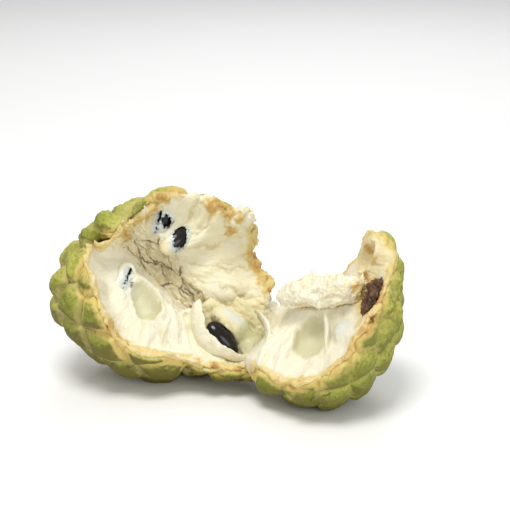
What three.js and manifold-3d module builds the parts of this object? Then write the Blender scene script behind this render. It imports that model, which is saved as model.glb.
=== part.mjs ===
// A custard apple (Annona squamosa), torn open by hand and lying on its rind.
// Millimetres, +Z up, +X to the right and +Y away from the side that the torn flesh faces.
//
// The fruit is torn into three hollows that still hang together: a wide bowl with the print of the
// core in it, a low bridge with one opened carpel, and a wedge that kept the core and the stalk scar.
// Each hollow starts as an ellipsoid shell. Its back is the rind, raised into scales that spiral
// round the fruit, and its front is the torn flesh, which runs in from a ragged rim. The three are
// joined, and the joined body is then parted into the rind and the flesh that lies inside it.
import * as THREE from 'three';
import { mergeVertices } from 'three/addons/utils/BufferGeometryUtils.js';
import Module from 'manifold-3d';

const wasm = await Module();
wasm.setup();

// ---- Driving dimensions -------------------------------------------------------------------------

const RIND_THICKNESS = 3.0; // the tough skin, without the flesh that clings to it
const RIND_EDGE = 1.3; // what is left of it at the torn rim
const RIM_LAP = 1.8; // how far the flesh laps over the rind's torn edge
const RIM_FLARE = 3.6; // how far the flesh may reach past the rind at the rim
const FIT_GAP = 0.3; // left between pieces that touch
const SCALE_COUNT = 78; // scales on the whole fruit
const SCALE_RISE = 3.2; // how far a scale's middle stands above the grooves round it
const SCALE_LEAN = 0.5; // how far a scale's free edge, away from the fruit's tip, stands up
const GROOVE_WIDTH = 0.16; // reach of a groove's flank, as a share of the fruit's radius
const RAGGED_RIM = 2.2; // degrees that the torn rim wanders
const RUFFLE = 1.6; // how far the flesh is ruffled up and down near the rim
const SEED = { length: 16.4, width: 8.2, thickness: 6.2 };

const GOLDEN_ANGLE = Math.PI * (3 - Math.sqrt(5));
const ROOM_GRID = [36, 10]; // faces round and along the room inside a hollow's rind

// Each hollow: where its ellipsoid's centre is, how far its mouth is turned to the right and lifted
// (degrees), the ellipsoid's half sizes (across, along the slope, deep), the level and steepness of
// its floor, the fruit's tip or stalk end on it, round which the scales spiral, and its torn rim.
// A rim entry is [degrees round the mouth from its right side, degrees of shell up from the back].
// Swells are mounds and dips of the torn flesh, lobes are plump segments that lie on it and walls
// are the thin sheets between opened carpels.
const BOWL = {
  centre: [-25, 12, 34],
  turn: 16,
  lift: 40,
  half: [44, 36, 33],
  floor: -11,
  steepness: 2.2,
  pole: [-0.62, 0.66, 0.42],
  grid: [64, 19, 12],
  reach: 24,
  rim: [
    [0, 88], [10, 83], [22, 83], [31, 97], [40, 112], [53, 119], [66, 117], [80, 122], [92, 119],
    [104, 124], [118, 130], [130, 133], [144, 129], [158, 130], [168, 131], [183, 137], [197, 136],
    [211, 130], [223, 123], [235, 118], [262, 117], [276, 108], [292, 92], [308, 80], [330, 80], [348, 92],
  ],
  dents: [
    { towards: [-0.7, 0.62, 0.2], reach: 0.36, depth: 3 },
    { towards: [-0.75, -0.55, -0.3], reach: 0.4, depth: 2.2 },
    { towards: [-0.36, 0.88, 0.31], reach: 0.22, depth: 2.4 },
    { towards: [0.1, 0.9, 0.45], reach: 0.5, depth: -3 }, // the far bank's top bends outward
    { towards: [0.75, 0.63, 0.17], reach: 0.22, depth: -4.5 }, // and its ragged corner
  ],
  swells: [
    { at: [-17, -9], half: [30, 17.5], turn: -49, level: 8.5, flatness: 4 }, // the near bank
    { at: [21, 9], half: [16, 13], turn: -35, level: -4.5, flatness: 3 }, // the far bank
    { at: [-11, -8], half: [5, 9.5], turn: 8, height: -4, flatness: 2 }, // an emptied aril
    { at: [5.5, 22.5], half: [13, 10.5], turn: -28, level: 7, flatness: 3 }, // over two seeds
    { at: [18, 18], half: [10, 3], turn: 50, height: 2, flatness: 1.2 }, // folds of the far bank
    { at: [24, 10], half: [11, 3], turn: 28, height: 2, flatness: 1.2 },
  ],
  lobes: [
    { at: [-10, -18], half: [3, 10.5, 4], turn: -24, sink: 1.5 },
    { at: [-5, -19], half: [2.8, 10.5, 4], turn: -12, sink: 1.2 },
    { at: [-0.5, -19.5], half: [2.8, 10.5, 4], turn: 0, sink: 1 },
    { at: [4.2, -19.5], half: [2.8, 10, 4], turn: 12, sink: 1 },
    { at: [25, -2], half: [12, 6, 5], turn: -6, sink: 1.5 },
    { at: [33, 20.5], half: [6.5, 7, 3.5], turn: 30, sink: 1.4 }, // the ragged corner
  ],
  walls: [],
};
const BRIDGE = {
  centre: [4, -6, 20.5],
  turn: 0,
  lift: 50,
  half: [27, 16, 16],
  floor: -4,
  steepness: 2,
  pole: [0, 0, -1],
  grid: [32, 7, 7],
  reach: 18,
  rim: [[0, 92], [90, 100], [180, 100], [240, 104], [270, 100], [300, 104]],
  dents: [],
  swells: [{ at: [2, -2], half: [10, 8], height: -3, flatness: 1.6 }],
  lobes: [
    { at: [-3, 7], half: [9.5, 5.5, 5], turn: -35, sink: -3.5 },
    { at: [5.5, -2], half: [5.5, 7.5, 4], turn: 0, sink: -2 },
  ],
  walls: [
    {
      line: [[-13, 13, 6], [-16.5, 5, 6], [-13.5, -3, 5], [-7, -8.5, 4], [-3, -13, 3]],
      thickness: 3,
      height: 9,
    },
    {
      line: [[5.5, 9, 6], [10, 3.5, 6], [12, -2, 6], [9.5, -9, 5], [1, -13.5, 3]],
      thickness: 3,
      height: 9,
    },
  ],
};
const WEDGE = {
  centre: [37, -13, 32],
  turn: -14,
  lift: 48,
  half: [28.5, 36, 29],
  floor: -1,
  steepness: 2,
  pole: [0.86, 0.3, 0.42],
  grid: [54, 16, 10],
  reach: 26,
  rim: [
    [14, 124], [28, 118], [40, 121], [52, 120], [62, 116], [69, 98], [76, 66], [91, 53], [113, 51],
    [129, 58], [142, 60], [157, 54], [181, 60], [203, 80], [219, 94], [230, 99], [251, 106],
    [267, 114], [294, 120], [305, 125], [318, 130], [340, 131],
  ],
  dents: [
    { towards: [0.68, 0.64, 0.36], reach: 0.4, depth: -5.5 }, // the flap bends outward
    { towards: [-0.71, -0.68, -0.18], reach: 0.24, depth: -5 }, // and so does the near corner
  ],
  swells: [
    { at: [-3, 4.5], half: [19, 8], turn: 8, height: 6, flatness: 1.6 }, // what carries the core
    { at: [-3, -11], half: [6, 9], height: -3, flatness: 1.4 }, // an emptied aril
    { at: [13, 23], half: [4.5, 5.5], height: -3.5, flatness: 1.6 }, // the dip behind the flap
  ],
  lobes: [
    { at: [-17, -15], half: [3.6, 12.5, 4.5], turn: -15, sink: 1 },
    { at: [-12, -16], half: [3.4, 12.5, 4.5], turn: -6, sink: 0.5 },
    { at: [9, -8], half: [4.5, 6.5, 4], turn: 0, sink: 1 },
  ],
  walls: [
    { line: [[0.5, -1, 6], [2.8, -8, 4], [3.7, -19, 5]], thickness: 2, height: 7 },
    { line: [[-13, -26, 9], [-4, -24, 8], [3, -19, 7]], thickness: 3, height: 5 },
  ],
};

// Where each seed lies: the hollow, the spot on its flesh, the turn and how deep its middle sits.
const SEEDS = {
  seed_far_upper: { hollow: BOWL, at: [1.5, 25.5], turn: -58, sink: 2.3 },
  seed_far_lower: { hollow: BOWL, at: [7.5, 18.3], turn: -58, sink: 3.1 },
  seed_near: { hollow: BOWL, at: [-16, 0.8], turn: -25, sink: 3.5 },
  seed_bare: { hollow: BRIDGE, at: [-8, -0.8], turn: 50, sink: -5 },
};

// The core: a crumbly rod along the wedge's upper edge, from a torn end to the stalk.
const CORE = {
  line: [[-18, 2.5, 5], [-13, 3.5, 6], [-5, 4.5, 7], [4, 6, 7.5], [12, 7.5, 8], [16, 6.5, 8.5]],
  radius: 5.6,
  crumble: 1.1,
};

// The woody base of the stalk, torn out of the rind beside the core.
const SCAR = { at: [19.5, 2.5, 9.5], half: [3.4, 7.2, 6.2], turn: -8, crumble: 0.7 };

// ---- Small tools --------------------------------------------------------------------------------

const radians = THREE.MathUtils.degToRad;
const lerp = THREE.MathUtils.lerp;
const smoothstep = THREE.MathUtils.smoothstep;
const vector = (xyz) => new THREE.Vector3(...xyz);

// Lumps without a pattern that the eye can follow: crossed waves, from -1 to 1.
function lumps(x, y, z, size) {
  const k = (2 * Math.PI) / size;
  return (
    Math.sin(k * (x + 0.61 * y + 0.2 * z) + 1.3) * Math.sin(k * (0.83 * y - 0.47 * x + 0.3 * z) + 4.1) +
    Math.sin(k * (1.31 * z + 0.37 * x - 0.5 * y) + 2.2) * 0.5
  ) / 1.5;
}

// A smooth closed course through [degrees, value] entries, read at an angle in radians.
function courseAt(entries, angle) {
  const degrees = (THREE.MathUtils.radToDeg(angle) + 720) % 360;
  let after = entries.findIndex(([at]) => at > degrees);
  if (after < 0) after = 0;
  const [to, toValue] = entries[after];
  const [from, fromValue] = entries[(after + entries.length - 1) % entries.length];
  const span = (to - from + 360) % 360;
  const along = ((degrees - from + 360) % 360) / span;
  return lerp(fromValue, toValue, smoothstep(along, 0, 1));
}

function toSolid(geometry) {
  geometry.deleteAttribute('normal');
  geometry.deleteAttribute('uv');
  const merged = mergeVertices(geometry, 1e-4);
  return new wasm.Manifold(new wasm.Mesh({
    numProp: 3,
    vertProperties: merged.attributes.position.array,
    triVerts: new Uint32Array(merged.index.array),
  }));
}

function toMesh(name, solid, material) {
  const made = solid.getMesh();
  const geometry = new THREE.BufferGeometry();
  geometry.setAttribute('position', new THREE.BufferAttribute(made.vertProperties, 3));
  geometry.setIndex(new THREE.BufferAttribute(made.triVerts, 1));
  geometry.computeVertexNormals();
  const mesh = new THREE.Mesh(geometry, material);
  mesh.name = name;
  return mesh;
}

// The largest of a solid's loose bodies: scraps that a cut leaves behind are dropped.
function largestBody(solid) {
  return solid.decompose().reduce((best, body) => (body.volume() > best.volume() ? body : best));
}

// A sphere whose every point is moved by place(turn round the axis, share of the way to the far pole).
function movedSphere(around, along, place) {
  const geometry = new THREE.SphereGeometry(1, around, along);
  const position = geometry.attributes.position;
  for (let i = 0; i < position.count; i += 1) {
    const row = Math.floor(i / (around + 1));
    const column = row % along === 0 ? 0 : (i % (around + 1)) % around;
    const moved = place(Math.PI * (1 - (2 * column) / around), row / along);
    position.setXYZ(i, moved.x, moved.y, moved.z);
  }
  return geometry;
}

// A rounded body along +Y with the given half sizes, its outline scaled by shape(turn, share).
function bean(around, along, half, shape) {
  return movedSphere(around, along, (round, share) => {
    const reach = Math.sin(Math.PI * share) * shape(round, share);
    return new THREE.Vector3(
      half[0] * reach * Math.cos(round),
      -half[1] * Math.cos(Math.PI * share),
      -half[2] * reach * Math.sin(round),
    );
  });
}

// ---- A hollow's shape ---------------------------------------------------------------------------

function frameOf(hollow) {
  const turn = radians(hollow.turn);
  const lift = radians(hollow.lift);
  const across = new THREE.Vector3(Math.cos(turn), Math.sin(turn), 0);
  const outward = new THREE.Vector3(
    Math.sin(turn) * Math.cos(lift),
    -Math.cos(turn) * Math.cos(lift),
    Math.sin(lift),
  );
  const upslope = new THREE.Vector3().crossVectors(outward, across);
  return new THREE.Matrix4()
    .makeBasis(across, upslope, outward)
    .setPosition(...hollow.centre);
}

// Middles of the scales, as directions from the ellipsoid's centre, in a spiral round the pole.
// They are packed more closely, and so are smaller, towards the pole.
function scaleMiddles(hollow) {
  const turnToPole = new THREE.Quaternion()
    .setFromUnitVectors(new THREE.Vector3(0, 0, 1), vector(hollow.pole).normalize());
  return Array.from({ length: SCALE_COUNT }, (_, i) => {
    const height = 1 - 2 * ((i + 0.5) / SCALE_COUNT) ** 1.2;
    const radius = Math.sqrt(1 - height * height);
    const angle = i * GOLDEN_ANGLE;
    return new THREE.Vector3(radius * Math.cos(angle), radius * Math.sin(angle), height)
      .applyQuaternion(turnToPole);
  });
}

// How far the rind stands out in a direction: full on a scale, least in the groove between two.
function scaleRise(direction, hollow, middles) {
  let nearest = null;
  let second = null;
  let nearestSquared = Infinity;
  let secondSquared = Infinity;
  for (const middle of middles) {
    const squared = direction.distanceToSquared(middle);
    if (squared < nearestSquared) {
      [second, secondSquared] = [nearest, nearestSquared];
      [nearest, nearestSquared] = [middle, squared];
    } else if (squared < secondSquared) {
      [second, secondSquared] = [middle, squared];
    }
  }
  const toGroove = (secondSquared - nearestSquared) / (2 * nearest.distanceTo(second));
  const onScale = Math.sin((Math.PI / 2) * Math.min(1, toGroove / GROOVE_WIDTH));
  const fromPole = nearest.clone().sub(direction).dot(vector(hollow.pole).normalize()) / 0.2;
  return SCALE_RISE * (onScale - 0.55) + SCALE_LEAN * onScale * fromPole;
}

function dentDepth(direction, dents) {
  return dents.reduce((sum, { towards, reach, depth }) => {
    const away = direction.angleTo(vector(towards)) / reach;
    return sum + depth * Math.exp(-away * away);
  }, 0);
}

function shellDirection(up, round) {
  return new THREE.Vector3(
    Math.sin(up) * Math.cos(round),
    Math.sin(up) * Math.sin(round),
    -Math.cos(up),
  );
}

function rimAngle(hollow, round) {
  const ragged = lumps(9 * Math.cos(round), 9 * Math.sin(round), hollow.lift, 5.3);
  return radians(courseAt(hollow.rim, round) + RAGGED_RIM * ragged);
}

// A point of the shell in the hollow's own frame: scaly outside, or smooth at a depth under it.
function shellPoint(hollow, up, round, depth, middles) {
  const direction = shellDirection(up, round);
  const half = vector(hollow.half);
  const normal = direction.clone().divide(half).normalize();
  const rise = middles ? scaleRise(direction, hollow, middles) : 0;
  const out = rise - depth - dentDepth(direction, hollow.dents);
  return direction.multiply(half).addScaledVector(normal, out);
}

// Height of the torn flesh over a spot of the mouth's plane, in the hollow's own frame.
function fleshHeight(hollow, across, upslope) {
  const [halfAcross, halfUpslope, halfDeep] = hollow.half;
  const round = Math.atan2(upslope / halfUpslope, across / halfAcross);
  const rim = rimAngle(hollow, round);
  const share = Math.hypot(across / halfAcross, upslope / halfUpslope) / Math.sin(rim);
  const rimHeight = -halfDeep * Math.cos(rim);
  const slope = lerp(hollow.floor, rimHeight, Math.min(1, share) ** hollow.steepness);
  const fade = 1 - Math.min(1, share) ** 6;
  return hollow.swells.reduce((height, swell) => (
    height + fade * swellOver(height, swell, across, upslope)
  ), slope);
}

// A mound (or, with a negative height, a dip) with an oval outline and a flat or round top, or
// a bank that fills up what is lower than its level.
function swellOver(below, { at, half, turn = 0, height, level, flatness }, across, upslope) {
  const [cos, sin] = [Math.cos(radians(turn)), Math.sin(radians(turn))];
  const [x, y] = [across - at[0], upslope - at[1]];
  const along = (x * cos + y * sin) / half[0];
  const aside = (y * cos - x * sin) / half[1];
  const inside = Math.exp(-((along * along + aside * aside) ** flatness));
  return inside * (level === undefined ? height : Math.max(0, level - below));
}

// The closed body of one hollow: rind behind, torn flesh in front, flattened where it lies.
function hollowBody(hollow) {
  const middles = scaleMiddles(hollow);
  const [around, ringsBehind, ringsInFront] = hollow.grid;
  const rings = ringsBehind + ringsInFront;
  const rimShare = ringsBehind / rings;
  const geometry = movedSphere(around, rings, (round, share) => {
    const rim = rimAngle(hollow, round);
    if (share <= rimShare) return shellPoint(hollow, (rim * share) / rimShare, round, 0, middles);
    const inward = (1 - share) / (1 - rimShare);
    const crest = shellPoint(hollow, rim, round, 0, middles);
    const level = shellPoint({ ...hollow, dents: [] }, rim, round, 0, null);
    const [across, upslope] = [crest.x * inward, crest.y * inward];
    const lip = (crest.z - level.z) * inward ** 6;
    const ruffle = RUFFLE * smoothstep(inward, 0.5, 0.9) * lumps(across, upslope, 0, 11);
    return new THREE.Vector3(across, upslope, fleshHeight(hollow, across, upslope) + lip + ruffle);
  }).applyMatrix4(frameOf(hollow));
  const position = geometry.attributes.position;
  for (let i = 0; i < position.count; i += 1) position.setZ(i, Math.max(0, position.getZ(i)));
  return geometry;
}

// The room inside one hollow's rind. At the rim it turns outward over the rind's torn edge, and
// then goes on out of the mouth as far as the flesh stands up. Extra shrinks it all round.
function roomInside(hollow, extra) {
  const [around, rings] = ROOM_GRID;
  return movedSphere(around, rings, (round, share) => {
    const ring = Math.round(share * rings);
    const lap = (RIM_LAP - extra) / hollow.half[1];
    const edge = rimAngle(hollow, round) - lap;
    const behind = Math.min(1, ring / (rings - 4));
    const depth = lerp(RIND_THICKNESS, RIND_EDGE, smoothstep(behind, 0.75, 1)) + extra;
    const point = shellPoint(hollow, edge * behind, round, depth, null);
    if (ring <= rings - 4) return point;
    const outside = shellPoint(hollow, edge, round, 2 * extra - RIM_FLARE, null);
    if (ring === rings - 3) return outside;
    if (ring === rings - 2) return outside.setZ(outside.z + 2 * (RIM_FLARE - extra));
    const inward = (rings - ring) / 2;
    return outside.set(outside.x * inward, outside.y * inward, hollow.reach - extra);
  }).applyMatrix4(frameOf(hollow));
}

// ---- What stands on and in the torn flesh -------------------------------------------------------

// Places a shape on a hollow's flesh: laid along the slope at a spot, turned in it and sunk into it.
function laidOn(hollow, { at: [across, upslope], turn, sink }) {
  const height = (x, y) => fleshHeight(hollow, x, y);
  const level = height(across, upslope);
  const normal = new THREE.Vector3(
    height(across - 1, upslope) - height(across + 1, upslope),
    height(across, upslope - 1) - height(across, upslope + 1),
    2,
  ).normalize();
  const tilt = new THREE.Quaternion().setFromUnitVectors(new THREE.Vector3(0, 0, 1), normal);
  return frameOf(hollow)
    .multiply(new THREE.Matrix4().makeTranslation(across, upslope, level))
    .multiply(new THREE.Matrix4().makeRotationFromQuaternion(tilt))
    .multiply(new THREE.Matrix4().makeRotationZ(radians(turn)))
    .multiply(new THREE.Matrix4().makeTranslation(0, 0, -sink));
}

// A plump segment of flesh.
function lobe(hollow, spec) {
  return bean(9, 7, spec.half, () => 1).applyMatrix4(laidOn(hollow, spec));
}

// A flattened bean, blunt at one end. A margin makes the pocket that it lies in.
function seed(spec, margin = 0) {
  const half = [SEED.width, SEED.length, SEED.thickness].map((size) => size / 2 + margin);
  return bean(16, 10, half, (round, share) => 1.03 - 0.12 * Math.cos(Math.PI * share))
    .applyMatrix4(laidOn(spec.hollow, spec));
}

// A tube along a line of spots, its radius given by size(curve point, outward offset, share).
function tube(hollow, line, around, along, size) {
  const curve = new THREE.CatmullRomCurve3(line.map(vector));
  const outward = new THREE.Vector3(0, 0, 1);
  return movedSphere(around, along, (round, share) => {
    const spot = curve.getPoint(share);
    const tangent = curve.getTangent(share);
    const aside = new THREE.Vector3().crossVectors(outward, tangent).normalize();
    const up = new THREE.Vector3().crossVectors(tangent, aside);
    const [wide, high] = size(spot, round, share);
    return spot
      .addScaledVector(aside, wide * Math.cos(round))
      .addScaledVector(up, high * Math.sin(round));
  }).applyMatrix4(frameOf(hollow));
}

// A thin wall of flesh that stands on a line of spots and tapers to nothing at both ends.
function wall(hollow, { line, thickness, height }) {
  return tube(hollow, line, 6, 12, (spot, round, share) => {
    const taper = Math.sin(Math.PI * share) ** 0.5 / 2;
    return [thickness * taper, height * taper];
  });
}

function core(margin = 0) {
  return tube(WEDGE, CORE.line, 12, 18, (spot, round, share) => {
    const rough = lumps(spot.x + 5 * Math.cos(round), 5 * Math.sin(round), spot.y, 4.7);
    const radius = (CORE.radius + CORE.crumble * rough + margin) * Math.sin(Math.PI * share) ** 0.4;
    return [radius, radius];
  });
}

function stalkScar(margin = 0) {
  const half = SCAR.half.map((size) => size + margin);
  return bean(14, 9, half, (round, share) => (
    Math.max(0.05, Math.sin(Math.PI * share)) ** -0.3
      * (1 + (SCAR.crumble / 6) * lumps(6 * Math.cos(round), 6 * Math.sin(round), 9 * share, 5))
  ))
    .applyMatrix4(new THREE.Matrix4().makeRotationZ(radians(SCAR.turn)))
    .applyMatrix4(new THREE.Matrix4().makeTranslation(...SCAR.at))
    .applyMatrix4(frameOf(WEDGE));
}

// ---- Assembly -----------------------------------------------------------------------------------

const hollows = [BOWL, BRIDGE, WEDGE];
const seeds = Object.entries(SEEDS);
const union = (geometries) => wasm.Manifold.union(geometries.map(toSolid));
const roomWithin = (extra) => union(hollows.map((hollow) => roomInside(hollow, extra)));

const body = union([
  ...hollows.map(hollowBody),
  ...hollows.flatMap((hollow) => hollow.lobes.map((spec) => lobe(hollow, spec))),
  ...hollows.flatMap((hollow) => hollow.walls.map((spec) => wall(hollow, spec))),
]);
const pockets = union([core(FIT_GAP), stalkScar(FIT_GAP), ...seeds.map(([, spec]) => seed(spec, FIT_GAP))]);
const rind = largestBody(body.subtract(roomWithin(0)).subtract(pockets));
const flesh = largestBody(body.intersect(roomWithin(FIT_GAP)).subtract(pockets));
const coreRod = largestBody(toSolid(core()).subtract(toSolid(stalkScar(FIT_GAP))));

const rindMaterial = new THREE.MeshStandardMaterial({ color: 0x8f9a45, roughness: 0.75 });
const fleshMaterial = new THREE.MeshStandardMaterial({ color: 0xefe6c4, roughness: 0.5 });
const coreMaterial = new THREE.MeshStandardMaterial({ color: 0xf3ecd2, roughness: 0.8 });
const scarMaterial = new THREE.MeshStandardMaterial({ color: 0x5b3a22, roughness: 0.9 });
const seedMaterial = new THREE.MeshStandardMaterial({ color: 0x17130f, roughness: 0.25 });

const custardApple = new THREE.Group();
custardApple.add(
  toMesh('rind', rind, rindMaterial),
  toMesh('flesh', flesh, fleshMaterial),
  toMesh('core', coreRod, coreMaterial),
  toMesh('stalk_scar', toSolid(stalkScar()), scarMaterial),
);
for (const [name, spec] of seeds) {
  custardApple.add(toMesh(name, toSolid(seed(spec)), seedMaterial));
}

// The frame's origin is under the middle of the whole, on the ground.
const box = new THREE.Box3().setFromObject(custardApple);
const middle = box.getCenter(new THREE.Vector3());
for (const mesh of custardApple.children) mesh.geometry.translate(-middle.x, -middle.y, -box.min.z);

export default custardApple;
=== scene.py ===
# A custard apple torn open by hand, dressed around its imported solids.
import math

import bmesh
import bpy
import numpy as np
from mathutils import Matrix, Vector, noise
from mathutils.bvhtree import BVHTree
from mathutils.kdtree import KDTree


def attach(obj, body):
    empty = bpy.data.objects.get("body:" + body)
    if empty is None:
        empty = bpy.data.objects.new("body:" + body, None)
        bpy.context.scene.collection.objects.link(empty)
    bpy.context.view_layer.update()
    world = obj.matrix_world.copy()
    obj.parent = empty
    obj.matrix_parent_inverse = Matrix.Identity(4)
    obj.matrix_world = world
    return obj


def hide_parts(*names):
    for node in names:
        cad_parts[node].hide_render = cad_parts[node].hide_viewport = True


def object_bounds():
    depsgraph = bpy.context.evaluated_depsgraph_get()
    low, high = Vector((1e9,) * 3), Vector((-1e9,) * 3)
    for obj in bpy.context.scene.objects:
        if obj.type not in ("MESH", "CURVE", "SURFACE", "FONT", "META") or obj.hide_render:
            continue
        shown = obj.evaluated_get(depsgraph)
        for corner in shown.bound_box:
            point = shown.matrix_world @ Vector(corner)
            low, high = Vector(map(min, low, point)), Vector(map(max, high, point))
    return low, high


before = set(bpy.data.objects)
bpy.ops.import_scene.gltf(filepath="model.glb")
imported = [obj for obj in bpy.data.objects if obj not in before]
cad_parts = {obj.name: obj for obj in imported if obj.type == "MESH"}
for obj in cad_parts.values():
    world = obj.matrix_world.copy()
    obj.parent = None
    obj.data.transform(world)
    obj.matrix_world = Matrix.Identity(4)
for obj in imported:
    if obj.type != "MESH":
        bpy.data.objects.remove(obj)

cad_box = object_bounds()

# ---- Camera, light and floor --------------------------------------------------------------------
# A pale table under soft studio light: a broad key from the upper left, a weaker fill from the
# right, a lamp behind and a white room all round. The camera looks down a little on the torn side.
CAMERA_EYE = (0.0116, -0.5129, 0.2177)
CAMERA_TARGET = (0.0116, -0.0009, 0.0513)
CAMERA_LENS, SENSOR_WIDTH = 100, 36
LAMPS = {  # place, size across, watts and colour
    "key": ((-0.12, -0.23, 0.88), 0.4, 4.9, (1, 0.985, 0.96)),
    "fill": ((0.5, -0.8, 0.45), 0.6, 2.4, (0.95, 0.98, 1)),
    "back": ((0.1, 0.8, 0.7), 0.6, 2.5, (1, 1, 1)),
}
ROOM_LIGHT = 0.5
FLOOR_HALF = 6
TABLE_ROUGHNESS, TABLE_DARKEST, TABLE_PALEST = 0.6, 0.93, 0.97
TABLE_MOTTLE = 40.0  # mottles to a metre

scene = bpy.context.scene
scene.view_settings.view_transform = "Standard"
camera = bpy.data.objects.new("camera", bpy.data.cameras.new("camera"))
camera.data.lens = CAMERA_LENS
camera.data.sensor_width = SENSOR_WIDTH
camera.location = CAMERA_EYE
aim = Vector(CAMERA_TARGET) - Vector(CAMERA_EYE)
camera.rotation_euler = aim.to_track_quat("-Z", "Y").to_euler()
scene.collection.objects.link(camera)
scene.camera = camera

for name, (place, size, watts, colour) in LAMPS.items():
    light = bpy.data.lights.new(name, "AREA")
    light.shape = "DISK"
    light.size = size
    light.energy = watts
    light.color = colour
    lamp = bpy.data.objects.new(name, light)
    lamp.location = place
    lamp.rotation_euler = (-Vector(place)).to_track_quat("-Z", "Y").to_euler()
    scene.collection.objects.link(lamp)

room = bpy.data.worlds.new("white room")
room.use_nodes = True
room.node_tree.nodes["Background"].inputs["Color"].default_value = (1, 1, 1, 1)
room.node_tree.nodes["Background"].inputs["Strength"].default_value = ROOM_LIGHT
scene.world = room


def new_piece(name, shape):
    """A piece made of a shape, which is freed."""
    piece = bpy.data.objects.new(name, bpy.data.meshes.new(name))
    shape.to_mesh(piece.data)
    shape.free()
    scene.collection.objects.link(piece)
    return piece


def new_material(name, roughness, **finish):
    """A material, its tree and its shader, whose even values are set on the shader's own sockets."""
    material = bpy.data.materials.new(name)
    material.use_nodes = True
    shader = material.node_tree.nodes["Principled BSDF"]
    shader.inputs["Roughness"].default_value = roughness
    for socket, value in finish.items():
        shader.inputs[socket.replace("_", " ")].default_value = value
    return material, material.node_tree, shader


def add_node(tree, kind, links=(), **settings):
    """A node with its settings and sockets filled: a socket takes a value or another's output."""
    made = tree.nodes.new(kind)
    for key, value in settings.items():
        setattr(made, key, value)
    for socket, value in links:
        target = made.inputs[socket]
        if isinstance(value, bpy.types.NodeSocket):
            tree.links.new(value, target)
        else:
            target.default_value = value
    return made


table = bmesh.new()
bmesh.ops.create_grid(table, x_segments=1, y_segments=1, size=FLOOR_HALF)
floor = new_piece("floor", table)
pale_table, tree, shader = new_material("pale table", TABLE_ROUGHNESS)
mottle = add_node(tree, "ShaderNodeTexNoise", [("Scale", TABLE_MOTTLE), ("Detail", 3.0)])
shade = add_node(tree, "ShaderNodeMapRange", [
    ("Value", mottle.outputs["Fac"]), ("To Min", TABLE_DARKEST), ("To Max", TABLE_PALEST)])
tree.links.new(shade.outputs["Result"], shader.inputs["Base Color"])
floor.data.materials.append(pale_table)

# ---- Rind ---------------------------------------------------------------------------------------
# The tough skin, about 3 mm thick, torn with the flesh. It is raised into plump scales that spiral
# round the fruit: olive green on top, cream to tan in the grooves, with a thin brown crack between
# two scales, and yellow to orange where it is torn.
MM = 0.001  # Blender works in metres; the forms are worked out in millimetres
SCALE_COUNT, SCALE_CROWDING = 78, 1.2
SCALE_RISE, SCALE_LEAN, SCALE_UNEVEN, SCALE_LUMPS = 3.2, 0.5, 0.45, 0.35
SCALE_HALF, SCALE_WARP = 0.2, 0.03  # as shares of the fruit's radius, as the grooves and cracks are
GROOVE_WIDTH, GROOVE_LEVEL = 0.16, 0.55
CRACK_DEPTH, CRACK_WIDTH = 0.9, 0.018
FRUIT_RADIUS = 35
RIND_VOXEL, FLESH_VOXEL = 0.64, 0.5
FACET_ROUNDS = 4  # rounds of relaxing that take away a solid's facets
RIND_REACH, OPEN_FACE = 7, 1.1  # how far from the rind is measured, and where the flesh lies bare
EDGE_WIDTH, EDGE_RAGGED, PATCH_ROOM = 7.0, 2.2, 5
EDGE_PITS, SKIN_PITS, LIFTED_EDGE = 0.25, 0.14, 0.3


class Hollow:
    """One torn hollow of the fruit: its middle and slope, and its tip, round which scales spiral."""

    def __init__(self, centre, turn, lift, half, pole, dents):
        turn, lift = math.radians(turn), math.radians(lift)
        across = np.array([math.cos(turn), math.sin(turn), 0])
        outward = np.array([
            math.sin(turn) * math.cos(lift), -math.cos(turn) * math.cos(lift), math.sin(lift)])
        self.axes = np.stack([across, np.cross(outward, across), outward], axis=1)
        self.centre = np.array(centre, float)
        self.half = np.array(half, float)
        self.pole = np.array(pole) / np.linalg.norm(pole)
        self.dents = dents
        self.middles = self.scale_middles()

    def scale_middles(self):
        """The directions of the scales' middles, which spiral from the tip by the golden angle."""
        turn = np.arange(SCALE_COUNT) * math.pi * (3 - math.sqrt(5))
        height = 1 - 2 * ((np.arange(SCALE_COUNT) + 0.5) / SCALE_COUNT) ** SCALE_CROWDING
        radius = np.sqrt(1 - height ** 2)
        ring = np.stack([radius * np.cos(turn), radius * np.sin(turn), height], axis=1)
        to_pole = Vector((0, 0, 1)).rotation_difference(Vector(self.pole)).to_matrix()
        return ring @ np.array(to_pole).T

    def local(self, points):
        """Points in the hollow's own frame: across, up its slope and out of its mouth."""
        return (points - self.centre) @ self.axes

    def dent(self, directions):
        """How deep the fruit is dented in each direction."""
        total = np.zeros(len(directions))
        for towards, reach, depth in self.dents:
            towards = np.array(towards) / np.linalg.norm(towards)
            away = np.arccos(np.clip(directions @ towards, -1, 1)) / reach
            total += depth * np.exp(-away ** 2)
        return total


BOWL = Hollow((-24.0, 11.1, 34.0), 16, 40, (44, 36, 33), (-0.62, 0.66, 0.42), [
    ((-0.7, 0.62, 0.2), 0.36, 3), ((-0.75, -0.55, -0.3), 0.4, 2.2),
    ((-0.36, 0.88, 0.31), 0.22, 2.4), ((0.1, 0.9, 0.45), 0.5, -3), ((0.75, 0.63, 0.17), 0.22, -4.5)])
BRIDGE = Hollow((5.0, -6.9, 20.5), 0, 50, (27, 16, 16), (0, 0, -1), [])
WEDGE = Hollow((38.0, -13.9, 32.0), -14, 48, (28.5, 36, 29), (0.86, 0.3, 0.42), [
    ((0.68, 0.64, 0.36), 0.4, -5.5), ((-0.71, -0.68, -0.18), 0.24, -5)])
PLUMPNESS = ((BOWL, 1), (BRIDGE, 1), (WEDGE, 0.7))  # how far the scales of each are raised


def smooth_shading(mesh):
    mesh.polygons.foreach_set("use_smooth", [True] * len(mesh.polygons))


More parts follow.
